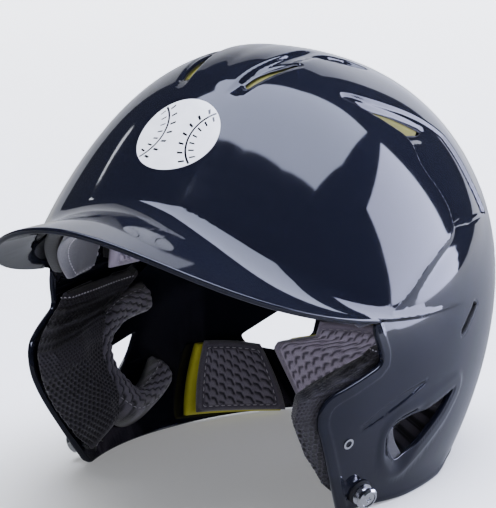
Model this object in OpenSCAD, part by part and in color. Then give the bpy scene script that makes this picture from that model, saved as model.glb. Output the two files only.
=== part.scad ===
// Double-flap batting helmet: a moulded hard shell with a short bill, two ear
// flaps and vents, lined with foam pads and fitted with metal hardware.
// +Z is up, -Y is the front, +X is the wearer's left. It stands on its lower rim.

/* [Shell] */
// Half of the shell's greatest width
half_width = 103.6; // [96:0.1:110]
// Reach of the dome forwards of its centre
reach_front = 136.7; // [128:0.1:145]
// Reach of the dome backwards of its centre
reach_back = 146; // [136:0.1:154]
// Rise of the crown above the centre
crown_rise = 122; // [114:0.1:130]
// Depth that the lower half curves towards, below the centre
low_depth = 161.5; // [150:0.1:175]
// Height of the centre above the lower rim
centre_z = 89.5; // [84:0.1:95]
// Distance of the centre behind the middle of the overall length
centre_y = 5.6; // [2:0.1:9]
// Thickness of the shell wall
wall = 3; // [2.5:0.1:4]
// Outward flare of the front corner of each flap
cheek_flare = 3.6; // [0:0.1:6]

/* [Bill] */
// Half width of the bill's outline where it meets the sides
bill_half_width = 103.5; // [98:0.1:108]
// Length of the bill's outline from the sides to the tip
bill_length = 164.3; // [150:0.1:172]
// Height of the bill's tip
bill_tip_z = 153.8; // [146:0.1:160]
// Thickness of the bill
bill_t = 3.4; // [2.5:0.1:5]
// Drop of the bill across its width, per square millimetre
bill_arch = 0.0057; // [0.004:0.0001:0.007]
// Drop of the bill from tip to back, per millimetre
bill_slope = 0.0565; // [0:0.001:0.12]
// Lift of the bill's sides against the plain arch
bill_lift = 9.7; // [0:0.1:14]

/* [Liner] */
// Gap between the shell and whatever lies against it
fit_gap = 0.8; // [0.3:0.1:1]
// Thickness of the firm foam bases
base_t = 7; // [5:0.5:9]
// Thickness of the fabric-covered comfort pads
pad_t = 9; // [6:0.5:12]
// Thickness of the jaw pad's foam core at its thickest
jaw_t = 18; // [10:0.5:22]
// Thickness of the jaw pad's spacer-mesh cover
cover_t = 3; // [2:0.5:4]
// Thickness of the padded roll around each ear
ear_t = 21; // [14:0.5:22]
// Thickness of the hook and loop fastener discs
disc_t = 1; // [0.8:0.1:1.5]
// Radius of the hook and loop fastener discs
disc_r = 5; // [4:0.5:5.5]

/* [Hardware] */
// Radius of the threaded bore in each face-guard insert
insert_bore_r = 1.75; // [1.5:0.05:2.2]
// Outer radius of each face-guard insert
insert_r = 2.8; // [2.5:0.1:3.4]
// Radius of the flanges of each chin-strap stud
stud_r = 5.6; // [5:0.1:6.5]
// Radius of the stud's waist
stud_waist_r = 3.6; // [3:0.1:4.2]
// Radius of the screw that holds each stud
screw_r = 2; // [1.8:0.1:2.2]

/* [Hidden] */

$fn = 48;
centre = [0, centre_y, centre_z];
columns = 60;
rows = 26;
low_angle = -52;

// How far each part of the dome departs from an ellipsoid
front_flat = -0.126;
side_flat = -0.025;
back_flat = 0.006;
low_flat = -0.031;
plan_square = -0.01;

// Front corner of the flap, where the flare is greatest, as azimuth and elevation
flare_at = [52, -17];
flare_spread = 15;

// Bill outline
bill_end_y = 12.7;
bill_power = 2.18;
bill_sweep = 84;
bill_columns = 44;
bill_rows = 5;
bill_tip_y = bill_end_y - bill_length;

// Side outline of the face opening, as [y, z], from the rim up to the bill
face_outline = [[-37, -10], [-37, 0], [-69, 53], [-67, 65], [-31.5, 77],
    [-41, 99], [-50, 175], [-220, 175], [-220, -10]];
face_corner_r = 4;

// Depth levels from the outside of the shell inwards
base_out = wall + fit_gap;
pad_out = base_out + base_t + 0.9;
jaw_out = wall + fit_gap + 2 * disc_t + 0.6;

insert_at = [58, -25];
stud_at = [66, -41];
tnut_t = 1.2;
disc_spots = [[57, -16], [60.5, -33]];

function smooth(t) = let(u = min(1, max(0, t))) u * u * (3 - 2 * u);
function mix(a, b, t) = a + (b - a) * t;

// Unit direction at azimuth a (0 is the front, 90 the wearer's left) and elevation e
function heading(a, e) = [sin(a) * cos(e), -cos(a) * cos(e), sin(e)];

// Distance from the centre to the outer surface along direction d
function dome_r(d) =
    let(front = smooth(0.5 - 0.5 * d.y),
        up = smooth(0.5 + 1.2 * d.z),
        reach = mix(reach_back, reach_front, front),
        depth = mix(low_depth, crown_rise, up),
        plain = 1 / norm([d.x / half_width, d.y / reach, d.z / depth]),
        fore_aft = mix(back_flat, front_flat, front),
        high = side_flat * d.x * d.x + fore_aft * d.y * d.y,
        low = low_flat * (d.x * d.x + d.y * d.y),
        shaping = 4 * d.z * d.z * mix(low, high, up)
            + 4 * plan_square * d.x * d.x * d.y * d.y,
        off_a = (atan2(abs(d.x), -d.y) - flare_at.x) / flare_spread,
        off_e = (asin(d.z) - flare_at.y) / flare_spread)
    plain * (1 + shaping) + cheek_flare * exp(-off_a * off_a - off_e * off_e);

// Point at depth t below the outer surface
function skin(a, e, t) = let(d = heading(a, e)) centre + d * (dome_r(d) - t);

// Outward normal of the shell
function outward(a, e) =
    let(s = 0.5,
        n = cross(skin(a + s, e, 0) - skin(a - s, e, 0), skin(a, e + s, 0) - skin(a, e - s, 0)))
    n / norm(n);

// Height of the bill's upper surface
function bill_z(x, y) = bill_tip_z - bill_arch * x * x - bill_slope * (y - bill_tip_y)
    + bill_lift * pow(x / 100, 4);

// Plan of the bill's rim at sweep angle s, where 0 is the tip
function rim_xy(s) = [sign(s) * bill_half_width * pow(sin(abs(s)), 2 / bill_power),
    bill_end_y - bill_length * pow(cos(s), 2 / bill_power)];

// Share of the way out from the centre axis at which the bill meets the wall's middle
function over_bill(p) = let(q = [p.x, p.y, bill_z(p.x, p.y)] - centre)
    norm(q) - (dome_r(q / norm(q)) - wall / 2);
function root_share(rim, lo = 0.3, hi = 1, steps = 14) = steps == 0 ? hi
    : let(m = (lo + hi) / 2, p = mix([0, centre_y], rim, m))
    over_bill(p) > 0 ? root_share(rim, lo, m, steps - 1) : root_share(rim, m, hi, steps - 1);

// Corner lists for grids of points that close on themselves or stay open
function quads(nu, nv, start, flip) = [for (j = [0:nv - 2], i = [0:nu - 2])
    let(k = start + j * nu + i, f = [k, k + 1, k + nu + 1, k + nu])
    flip ? [f[3], f[2], f[1], f[0]] : f];
function border(nu, nv) = concat([for (i = [0:nu - 2]) i],
    [for (j = [0:nv - 2]) j * nu + nu - 1],
    [for (i = [nu - 1:-1:1]) (nv - 1) * nu + i],
    [for (j = [nv - 1:-1:1]) j * nu]);

// A closed slab between two grids of the same size, the first one outermost
module slab(outer, inner, nu, nv) {
    n = nu * nv;
    edge = border(nu, nv);
    walls = [for (k = [0:len(edge) - 1])
        let(a = edge[k], b = edge[(k + 1) % len(edge)]) [b, a, a + n, b + n]];
    polyhedron(concat(outer, inner),
        concat(quads(nu, nv, 0, false), quads(nu, nv, n, true), walls), convexity = 6);
}

// The dome's closed form, offset inwards by t, down to below the lower rim
module dome(t) {
    step = (90 - low_angle) / rows;
    ring = [for (j = [1:rows], i = [0:columns - 1]) skin(i * 360 / columns, 90 - j * step, t)];
    top = len(ring);
    faces = concat(
        [for (i = [0:columns - 1]) [top, (i + 1) % columns, i]],
        [for (j = [0:rows - 2], i = [0:columns - 1])
            let(a = j * columns, k = (i + 1) % columns)
            [a + i, a + k, a + columns + k, a + columns + i]],
        [[for (i = [0:columns - 1]) (rows - 1) * columns + columns - 1 - i]]);
    polyhedron(concat(ring, [skin(0, 90, t)]), faces, convexity = 4);
}

module bill() {
    function at(s, v, drop) = let(rim = rim_xy(s), share = root_share(rim),
        p = mix([0, centre_y], rim, mix(share, 1, v)))
        [p.x, p.y, bill_z(p.x, p.y) - drop];
    function grid(drop) = [for (j = [0:bill_rows - 1], i = [0:bill_columns - 1])
        at(mix(-bill_sweep, bill_sweep, i / (bill_columns - 1)), 1 - j / (bill_rows - 1), drop)];
    slab(grid(bill_t), grid(0), bill_columns, bill_rows);
}

// Everything under the bill and in front of the flaps
module face_opening() {
    nx = 25;
    ny = 9;
    function grid(z_low) = [for (j = [0:ny - 1], i = [0:nx - 1])
        let(x = mix(-130, 130, i / (nx - 1)), y = mix(-215, 0, j / (ny - 1)))
        [x, y, z_low ? -20 : bill_z(x, y) - bill_t - 0.2]];
    intersection() {
        slab(grid(true), grid(false), nx, ny);
        rotate([90, 0, 90])
            linear_extrude(260, center = true)
                offset(face_corner_r) offset(-2 * face_corner_r) offset(face_corner_r)
                    polygon(face_outline);
    }
}

// A hole through the wall whose outline is the hull of discs at [azimuth, elevation, radius]
module vent(spots) {
    hull() for (p = spots, t = [-6, 9]) translate(skin(p[0], p[1], t)) sphere(p[2], $fn = 12);
}

module ear_opening() {
    corners = [[32, 51], [23, 40], [-8, 19], [-17, 27], [-21, 39], [-16, 43]];
    hull() for (p = corners) translate([60, p.x, p.y]) rotate([0, 90, 0])
        cylinder(60, r = 2, $fn = 16);
}

module both_sides() {
    children();
    mirror([1, 0, 0]) children();
}

// Puts its children at a place on the shell with +Z pointing outwards
module on_skin(place, t) {
    n = outward(place.x, place.y);
    translate(skin(place.x, place.y, t))
        rotate([0, acos(n.z), atan2(n.y, n.x)]) children();
}

module shell() {
    color([0.06, 0.09, 0.16]) difference() {
        union() {
            difference() {
                dome(0);
                dome(wall);
            }
            bill();
        }
        face_opening();
        translate([0, 0, -50]) cube([400, 500, 100], center = true);
        both_sides() {
            vent([[24, 68, 2.5], [60, 78, 3.5], [105, 76, 2]]);
            vent([[84, 66, 1.5], [103, 54, 7], [130, 45, 4]]);
            vent([[141, -25, 2], [152, -19, 2.5], [157, -18.5, 2], [153, -25.5, 2]]);
            vent([[114, -1, 1.2], [105, -6, 1.2]]);
            ear_opening();
            on_skin(insert_at, 0) cylinder(20, r = insert_r + 0.1, center = true);
            on_skin(stud_at, 0) cylinder(20, r = screw_r + 0.9, center = true);
        }
    }
}

// Point at depth t below the outer surface, with the depth measured almost level
function level_skin(a, e, t) =
    let(d = heading(a, e), n = [d.x, d.y, 0.15 * d.z]) skin(a, e, 0) - t * n / norm(n);

// A pad that follows the shell. spot(u, v) gives the azimuth and elevation over the
// pad, and low(u, v) and high(u, v) the depths of its outer and inner faces. The depth
// of a pad that stands at the lower rim is measured level
module pad(spot, low, high, nu = 9, nv = 7, upright = false) {
    cells = [for (j = [0:nv - 1], i = [0:nu - 1]) [i / (nu - 1), j / (nv - 1)]];
    function face(depth) = [for (c = cells)
        let(p = spot(c.x, c.y), t = depth(c.x, c.y))
        upright ? level_skin(p.x, p.y, t) : skin(p.x, p.y, t)];
    slab(face(low), face(high), nu, nv);
}

// Depth that is the same everywhere, and depth t plus a thickness shaped by bulge(u, v)
function even(t) = function(u, v) t;
function raised(t, thick, bulge) = function(u, v) t + thick * bulge(u, v);

// Area between four corners, each an azimuth and elevation pair
function area(c) = function(u, v) mix(mix(c[0], c[1], u), mix(c[3], c[2], u), v);
// Area shrunk towards its middle
function inset(spot, m) = function(u, v) spot(mix(m, 1 - m, u), mix(m, 1 - m, v));
// Thickness that falls off by the share c towards the edges
function crowned(c) = function(u, v) 1 - c * (1 - sqrt(sin(180 * u) * sin(180 * v)));

// The rear pad reaches out under the rear vents, and up between them
function rear_reach(e) = lookup(e, [[-40.4, 22.5], [-26, 32.5], [-24.5, 31.5], [-22.5, 21.5],
    [-18.5, 21]]);
rear_area = function(u, v) let(w = 2 * u - 1, e = mix(-37 - 3.4 * w * w, -18.5, v))
    [180 + w * rear_reach(e), e];
upper_rear_area = area([[142, -14], [218, -14], [214, 18], [146, 18]]);
rear_side_area = area([[116, -43.8], [154, -40.6], [145.5, -25], [125, -24.3]]);
rear_side_pad_area = area([[119.5, -42.8], [153.6, -39.8], [145.3, -25.1], [127, -24.5]]);
temple_area = area([[88, -0.5], [118, -1], [122, 24], [92, 26]]);

// The brow line, where the bill leaves the dome, falls away towards the temples
function brow(a) = max(5, 30 - 25 * pow(a / 64, 2));
forehead_area = function(u, v) let(a = mix(-84, 84, u)) [a, brow(a) - 3 + 19 * v];

// The jaw pad stands a little forward of the flap's edge, and runs back to the ear roll
// and over its top
function jaw_front(e) = lookup(e, [[-44, 60], [-38, 53], [-28, 46.5], [-19, 43], [-13, 44],
    [-9, 57], [-6, 65], [-3, 69]]);
function jaw_back(e) = lookup(e, [[-44, 68.2], [-37, 66.2], [-30, 63.7], [-21, 63.7],
    [-16, 67], [-11, 75], [-8, 91], [-3, 104]]);
jaw_area = function(u, v) let(e = mix(-44, -3, v)) [mix(jaw_front(e), jaw_back(e), u), e];
jaw_bulge = function(u, v) (0.25 + 0.75 * sin(90 * min(1, 2 * u)))
    * (0.35 + 0.65 * smooth((1 - v) / 0.35)) * (0.6 + 0.4 * smooth(v / 0.2));

// Route of the roll around the ear, as azimuth, elevation and width
ear_route = [[107, -12, 8], [98, -12.5, 8], [88, -13.5, 8], [79, -15.5, 8], [72, -18.5, 8],
    [69.5, -23, 8], [69.5, -29, 8], [73, -34.5, 7], [79, -39, 6], [87, -42, 5],
    [96, -41, 6], [104, -38, 7], [110, -33, 8]];

// A padded roll against the shell that follows a route, rounded across its width
module roll(route, t, thick) {
    n = len(route);
    nv = 7;
    function side(i) = let(d = route[min(n - 1, i + 1)] - route[max(0, i - 1)])
        [-d.y, d.x] / norm([d.x, d.y]);
    function spot(i, v) = [route[i].x, route[i].y] + side(i) * route[i].z * (v - 0.5);
    cells = [for (j = [0:nv - 1], i = [0:n - 1]) [i, j / (nv - 1)]];
    outer = [for (c = cells) let(p = spot(c.x, c.y)) skin(p.x, p.y, t)];
    inner = [for (c = cells) let(p = spot(c.x, c.y))
        skin(p.x, p.y, t + thick * (0.6 + 0.4 * sin(180 * c.y)))];
    slab(inner, outer, n, nv);
}

module firm_base(spot, columns = 9, margin = 0.06, rows = 7, upright = false) {
    color([0.78, 0.76, 0.1])
        pad(inset(spot, margin), even(base_out), raised(base_out, base_t, crowned(0.1)),
            columns, rows, upright);
}

module soft_pad(spot, columns = 9, margin = 0.02, rows = 7, upright = false) {
    color([0.3, 0.28, 0.33])
        pad(inset(spot, margin), even(pad_out), raised(pad_out, pad_t, crowned(0.4)),
            columns, rows, upright);
}

// A round cap over the crown, from depth t to depth t + thick, down to elevation e
module cap(e, t, thick) {
    n = 24;
    m = 5;
    function layer(s) = [for (j = [1:m], i = [0:n - 1])
        skin(i * 360 / n, 90 - (90 - e) * j / m, s)];
    outer = concat(layer(t), [skin(0, 90, t)]);
    inner = concat(layer(t + thick), [skin(0, 90, t + thick)]);
    k = len(outer);
    function shell_faces(b, flip) = concat(
        [for (i = [0:n - 1]) let(f = [b + n * m, b + (i + 1) % n, b + i])
            flip ? [f[2], f[1], f[0]] : f],
        [for (j = [0:m - 2], i = [0:n - 1])
            let(a = b + j * n, f = [a + i, a + (i + 1) % n, a + n + (i + 1) % n, a + n + i])
            flip ? [f[3], f[2], f[1], f[0]] : f]);
    brim = [for (i = [0:n - 1]) let(a = (m - 1) * n + i, b = (m - 1) * n + (i + 1) % n)
        [a, b, b + k, a + k]];
    polyhedron(concat(outer, inner),
        concat(shell_faces(0, false), shell_faces(k, true), brim), convexity = 4);
}

module forehead_base() { firm_base(forehead_area, 25); }
module forehead_pad() { soft_pad(forehead_area, 23); }
module crown_base() { color([0.78, 0.76, 0.1]) cap(46, base_out, base_t); }
module crown_pad() { color([0.3, 0.28, 0.33]) cap(58, pad_out, pad_t); }
module upper_rear_base() { firm_base(upper_rear_area, 12); }
module upper_rear_pad() { soft_pad(upper_rear_area, 12); }
module rear_base() { firm_base(rear_area, 11, 0.04, 14, true); }
module rear_pad() { soft_pad(rear_area, 11, 0.02, 14, true); }
module rear_side_base_left() { firm_base(rear_side_area, 9, 0, 7, true); }
module rear_side_base_right() { mirror([1, 0, 0]) rear_side_base_left(); }
module rear_side_pad_left() { soft_pad(rear_side_pad_area, 9, 0, 7, true); }
module rear_side_pad_right() { mirror([1, 0, 0]) rear_side_pad_left(); }
module temple_base_left() { firm_base(temple_area); }
module temple_base_right() { mirror([1, 0, 0]) temple_base_left(); }
module temple_pad_left() { soft_pad(temple_area); }
module temple_pad_right() { mirror([1, 0, 0]) temple_pad_left(); }

module ear_pad_left() { color([0.16, 0.14, 0.18]) roll(ear_route, base_out, ear_t); }
module ear_pad_right() { mirror([1, 0, 0]) ear_pad_left(); }

module jaw_foam_left() {
    color([0.1, 0.1, 0.11])
        pad(jaw_area, even(jaw_out), raised(jaw_out, jaw_t, jaw_bulge), 7, 12);
}
module jaw_foam_right() { mirror([1, 0, 0]) jaw_foam_left(); }

// The spacer mesh lies over the foam's inner face
module jaw_cover_left() {
    color([0.08, 0.08, 0.1]) pad(jaw_area, raised(jaw_out + 0.4, jaw_t, jaw_bulge),
        raised(jaw_out + 0.4 + cover_t, jaw_t, jaw_bulge), 7, 12);
}
module jaw_cover_right() { mirror([1, 0, 0]) jaw_cover_left(); }

// Flat fastener discs on the inside of the flap, their outer faces at depth t
module discs(t) {
    for (p = disc_spots) on_skin(p, t + disc_t) cylinder(disc_t, r = disc_r);
}

module hook_discs() { color([0.05, 0.05, 0.05]) both_sides() discs(wall + fit_gap); }
module loop_discs_left() { color([0.2, 0.2, 0.2]) discs(wall + fit_gap + disc_t + 0.3); }
module loop_discs_right() { mirror([1, 0, 0]) loop_discs_left(); }

// Flanged threaded insert, flush with the outside, its flange on the inside
module guard_inserts() {
    color("silver") both_sides() on_skin(insert_at, 0) difference() {
        union() {
            translate([0, 0, -wall - 1]) cylinder(wall + 1.4, r = insert_r);
            translate([0, 0, -wall - 1 - tnut_t]) cylinder(tnut_t, r = insert_r + 2.2);
        }
        translate([0, 0, -wall - 4]) cylinder(wall + 8, r = insert_bore_r);
    }
}

// Double-flanged spool that a chin-strap loop snaps around
module snap_studs() {
    color("silver") both_sides() on_skin(stud_at, 0) rotate_extrude() polygon([
        [screw_r + 0.1, 1.2], [stud_r, 1.2], [stud_r, 2.4], [stud_waist_r, 3.2],
        [stud_waist_r, 4.4], [stud_r, 5], [stud_r, 6.6], [stud_r - 0.8, 7.4],
        [screw_r + 1.8, 7.6], [screw_r + 1.8, 6], [screw_r + 0.1, 6]]);
}

module snap_screws() {
    color("gainsboro") both_sides() on_skin(stud_at, 0) {
        translate([0, 0, -wall - 1.5]) cylinder(wall + 7.7, r = screw_r);
        difference() {
            translate([0, 0, 6.1]) cylinder(1.1, r = screw_r + 1.5);
            for (turn = [0, 90]) rotate([0, 0, turn]) translate([0, 0, 7.2])
                cube([3.6, 0.8, 1.2], center = true);
        }
    }
}

module snap_washers() {
    color([0.03, 0.03, 0.03]) both_sides() on_skin(stud_at, 0) difference() {
        translate([0, 0, 0.1]) cylinder(1, r = stud_r + 0.9);
        cylinder(4, r = screw_r + 0.1, center = true);
    }
}

module snap_tnuts() {
    color("silver") both_sides() on_skin(stud_at, 0) difference() {
        union() {
            translate([0, 0, -wall - 0.8]) cylinder(wall, r = screw_r + 0.7);
            translate([0, 0, -wall - 0.8 - tnut_t]) cylinder(tnut_t, r = 6);
        }
        cylinder(20, r = screw_r + 0.05, center = true);
    }
}

shell();
forehead_base();
forehead_pad();
crown_base();
crown_pad();
upper_rear_base();
upper_rear_pad();
rear_base();
rear_pad();
rear_side_base_left();
rear_side_base_right();
rear_side_pad_left();
rear_side_pad_right();
temple_base_left();
temple_base_right();
temple_pad_left();
temple_pad_right();
ear_pad_left();
ear_pad_right();
jaw_foam_left();
jaw_foam_right();
jaw_cover_left();
jaw_cover_right();
hook_discs();
loop_discs_left();
loop_discs_right();
guard_inserts();
snap_studs();
snap_screws();
snap_washers();
snap_tnuts();
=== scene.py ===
import math

import bpy
import numpy as np
from mathutils import Matrix, Vector
from mathutils.geometry import delaunay_2d_cdt
from mathutils.kdtree import KDTree


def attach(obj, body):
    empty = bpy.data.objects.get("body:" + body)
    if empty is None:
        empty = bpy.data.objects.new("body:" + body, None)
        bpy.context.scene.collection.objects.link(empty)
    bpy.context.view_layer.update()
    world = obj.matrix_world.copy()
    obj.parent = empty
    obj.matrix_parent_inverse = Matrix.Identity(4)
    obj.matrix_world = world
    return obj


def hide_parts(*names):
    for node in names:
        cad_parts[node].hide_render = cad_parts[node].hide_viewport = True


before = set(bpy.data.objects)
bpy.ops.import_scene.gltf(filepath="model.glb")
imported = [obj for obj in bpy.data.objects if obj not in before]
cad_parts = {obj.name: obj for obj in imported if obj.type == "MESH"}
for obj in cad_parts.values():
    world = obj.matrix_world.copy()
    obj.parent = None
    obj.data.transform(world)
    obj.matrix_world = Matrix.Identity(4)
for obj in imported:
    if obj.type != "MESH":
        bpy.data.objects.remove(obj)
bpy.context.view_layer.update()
scene = bpy.context.scene

# ---------------------------------------------------------------- dimensions, mm
CENTRE = np.array([0.0, 5.6, 89.5])
HALF_WIDTH, REACH_FRONT, REACH_BACK = 103.6, 136.7, 146.0
CROWN_RISE, LOW_DEPTH = 122.0, 161.5
WALL = 3.0
# the depth below the skin at which each layer starts, and its thickness
BASE_OUT, BASE_T = 3.8, 7.0
PAD_OUT, PAD_T = 11.7, 9.0
JAW_OUT, JAW_T, EAR_T = 6.4, 18.0, 21.0
BEFORE_CLOTH = 0.72               # share of a pad's thickness that the cloth swells from
CLOTH_FRAMES = 20
BILL = dict(half=103.5, length=164.3, end_y=12.7, tip_z=153.8, arch=0.0057, slope=0.0565,
            lift=9.7, power=2.18)
BILL_SIDE, BILL_FAR = 112, 230.0  # how far out the bill's surface is looked for
LEDGE_OUT, LEDGE_IN = 1.1, 7.0    # width of the ledge's step outside and inside
FLAP_TOP = 73.2                   # where along the bill's rim the ear flap begins
OUTLINE_STEP = 1.5
FACE_MIDDLE = np.array([0, 0, 120.0])
RIM_ROUND, RIM_LIFT = 4.0, 2.8    # the rim's lowest part stands on the floor


# ---------------------------------------------------------------- surfaces
def smooth(t):
    t = np.clip(t, 0, 1)
    return t * t * (3 - 2 * t)


def mix(a, b, t):
    return a + (b - a) * t


def unit(v):
    return v / np.maximum(np.linalg.norm(v, axis=-1, keepdims=True), 1e-12)


def heading(az, el):
    az, el = np.broadcast_arrays(np.radians(az), np.radians(el))
    return np.stack([np.sin(az) * np.cos(el), -np.cos(az) * np.cos(el), np.sin(el)], -1)


def angles(d):
    return (np.degrees(np.arctan2(d[..., 0], -d[..., 1])),
            np.degrees(np.arcsin(np.clip(d[..., 2], -1, 1))))


def dome_r(d):
    dx, dy, dz = d[..., 0], d[..., 1], d[..., 2]
    front = smooth(0.5 - 0.5 * dy)
    up = smooth(0.5 + 1.2 * dz)
    reach = mix(REACH_BACK, REACH_FRONT, front)
    depth = mix(LOW_DEPTH, CROWN_RISE, up)
    plain = 1 / np.sqrt((dx / HALF_WIDTH) ** 2 + (dy / reach) ** 2 + (dz / depth) ** 2)
    fore_aft = mix(0.006, -0.126, front)
    high = -0.025 * dx * dx + fore_aft * dy * dy
    low = -0.031 * (dx * dx + dy * dy)
    shaping = 4 * dz * dz * mix(low, high, up) - 0.04 * dx * dx * dy * dy
    off_a = (np.degrees(np.arctan2(np.abs(dx), -dy)) - 52) / 15
    off_e = (np.degrees(np.arcsin(np.clip(dz, -1, 1))) + 17) / 15
    return plain * (1 + shaping) + 3.6 * np.exp(-off_a * off_a - off_e * off_e)


def on_dome(d):
    return CENTRE + d * dome_r(d)[..., None]


def skin(az, el, t=0.0):
    d = heading(np.asarray(az, float), np.asarray(el, float))
    return CENTRE + d * (dome_r(d) - t)[..., None]


def outward(az, el, s=0.3):
    az, el = np.asarray(az, float), np.asarray(el, float)
    return unit(np.cross(skin(az + s, el) - skin(az - s, el), skin(az, el + s) - skin(az, el - s)))


def bill_z(x, y):
    return (BILL["tip_z"] - BILL["arch"] * x * x
            - BILL["slope"] * (y - BILL["end_y"] + BILL["length"])
            + BILL["lift"] * (x / 100) ** 4)


def rim_point(s):
    s = np.radians(np.asarray(s, float))
    x = BILL["half"] * np.sin(s) ** (2 / BILL["power"])
    y = BILL["end_y"] - BILL["length"] * np.maximum(np.cos(s), 0) ** (2 / BILL["power"])
    return np.stack([x, y, bill_z(x, y)], -1)


def closed_in(lo, hi, past, times=40):
    """Halves lo to hi again and again, round the place where past turns true."""
    for _ in range(times):
        m = (lo + hi) / 2
        over = past(m)
        lo, hi = np.where(over, lo, m), np.where(over, m, hi)
    return lo, hi


def bill_r(d):
    """Distance from the centre to the bill's upper surface along direction d."""
    def above(m):
        p = CENTRE + d * m[..., None]
        return p[..., 2] > bill_z(np.clip(p[..., 0], -BILL_SIDE, BILL_SIDE), p[..., 1])

    nothing = np.zeros(d.shape[:-1])
    lo, hi = closed_in(nothing, nothing + BILL_FAR, above, 24)
    return (lo + hi) / 2


# The ledge line: the bill's rim, carried on along the side of the dome
_rim = rim_point(np.linspace(0.0, 86.0, 160))
_tail = skin(np.linspace(95, 106, 8), np.linspace(3.2, 2.6, 8))
_ledge = np.vstack([_rim[_rim[:, 1] < 6], _tail])
_ledge_az, _ledge_el = angles(unit(_ledge - CENTRE))


def above_ledge(d):
    """Height above the ledge line, in mm along the surface."""
    az, el = angles(d)
    return (el - np.interp(np.abs(az), _ledge_az, _ledge_el)) * 2.0


def round_max(a, b, k):
    h = np.maximum(k - np.abs(a - b), 0) / k
    return np.maximum(a, b) + h * h * k / 4


def upper_r(d):
    az = np.abs(angles(d)[0])
    k = 3 + 9 * smooth((84 - az) / 50)
    b = bill_r(d) - 60 * smooth((az - 92) / 9)
    b = np.where((above_ledge(d) < -30) | (az > 101), 0, b)
    return round_max(dome_r(d), b, k)


def base_r(d, width, top):
    """The shell without its small features. The step at the ledge is width mm wide, and
    the points marked top stay on its upper side."""
    az, el = angles(d)
    side, h = np.abs(az), above_ledge(d)
    low = dome_r(d) - 2.0 * smooth((105 - side) / 16) * np.exp(-np.maximum(-h, 0) / 16)
    s = np.where(side > 106, 0, smooth((h + 0.6) / width + 1.0))
    up = upper_r(heading(az, np.maximum(el, np.interp(side, _ledge_az, _ledge_el))))
    return np.where(top & (side < 106), upper_r(d), mix(low, up, s))


def is_top(d):
    return above_ledge(d) > -0.3


# ---------------------------------------------------------------- outlines
def gaps(p):
    return np.linalg.norm(np.diff(p, axis=0), axis=1)


def run(p):
    """The distance along a line at each of its points."""
    return np.r_[0, np.cumsum(gaps(p))]


def sample(t, s, p):
    """Places at the distances t along the line p, whose own points lie at s."""
    return np.stack([np.interp(t, s, p[:, k]) for k in range(p.shape[1])], -1)


def resample(p, step, closed=False):
    p = np.asarray(p, float)
    if closed:
        p = np.vstack([p, p[:1]])
    s = run(p)
    out = sample(np.linspace(0, s[-1], max(2, int(round(s[-1] / step))) + 1), s, p)
    return out[:-1] if closed else out


def rounded(points, r, closed=True, steps=7):
    """A polyline with each corner replaced by an arc-like curve of reach r."""
    p = np.asarray(points, float)
    n = len(p)
    out = []
    for i in range(n):
        if not closed and i in (0, n - 1):
            out.append(p[i])
            continue
        a, b, c = p[i - 1], p[i], p[(i + 1) % n]
        la, lc = np.linalg.norm(a - b), np.linalg.norm(c - b)
        ra, rc = min(r, la * 0.45), min(r, lc * 0.45)
        s, e = b + (a - b) / la * ra, b + (c - b) / lc * rc
        for t in np.linspace(0, 1, steps):
            out.append((1 - t) ** 2 * s + 2 * t * (1 - t) * b + t * t * e)
    return np.array(out)


def inside(p, loop):
    """Even-odd test of points p against a closed loop, in the plane."""
    r = np.zeros(len(p), bool)
    a, b = loop, np.roll(loop, -1, axis=0)
    for (ax, ay), (bx, by) in zip(a, b):
        if ay == by:
            continue
        cross = ((ay > p[:, 1]) != (by > p[:, 1]))
        r ^= cross & (p[:, 0] < (bx - ax) * (p[:, 1] - ay) / (by - ay) + ax)
    return r


def beside(p, line):
    """Distance from a plane line, positive on its right, and the share along it."""
    best = np.full(len(p), 1e9)
    side, share = np.ones(len(p)), np.zeros(len(p))
    n = len(line) - 1
    for i in range(n):
        a, ab = line[i], line[i + 1] - line[i]
        q = p - a
        t = np.clip((q @ ab) / (ab @ ab), 0, 1)
        d = np.linalg.norm(q - t[:, None] * ab, axis=1)
        near = d < best
        best = np.where(near, d, best)
        side = np.where(near, np.where(q[:, 1] * ab[0] - q[:, 0] * ab[1] > 0, -1.0, 1.0), side)
        share = np.where(near, (i + t) / n, share)
    return best * side, share


def eased(p, times=3):
    """A line with its corners cut again and again."""
    p = np.asarray(p, float)
    for _ in range(times):
        c = np.empty((2 * len(p) - 2, p.shape[1]))
        c[0::2], c[1::2] = 0.75 * p[:-1] + 0.25 * p[1:], 0.25 * p[:-1] + 0.75 * p[1:]
        p = np.vstack([p[:1], c, p[-1:]])
    return p


def course(azel):
    """Shell points along a line given by azimuth and elevation pairs."""
    p = resample(eased(azel, 2), 1.0)
    return skin(p[:, 0], p[:, 1])


def to_line(p, line, closed=False):
    """Distance from points to a polyline, and the share along it."""
    line = np.asarray(line, float)
    if closed:
        line = np.vstack([line, line[:1]])
    best = np.full(len(p), 1e9)
    share = np.zeros(len(p))
    seg, s0 = gaps(line), run(line)
    for i in range(len(line) - 1):
        a, ab = line[i], line[i + 1] - line[i]
        t = np.clip(((p - a) @ ab) / max(ab @ ab, 1e-12), 0, 1)
        d = np.linalg.norm(p - (a + t[:, None] * ab), axis=1)
        near = d < best
        best = np.where(near, d, best)
        share = np.where(near, (s0[i] + t * seg[i]) / s0[-1], share)
    return best, share


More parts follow.
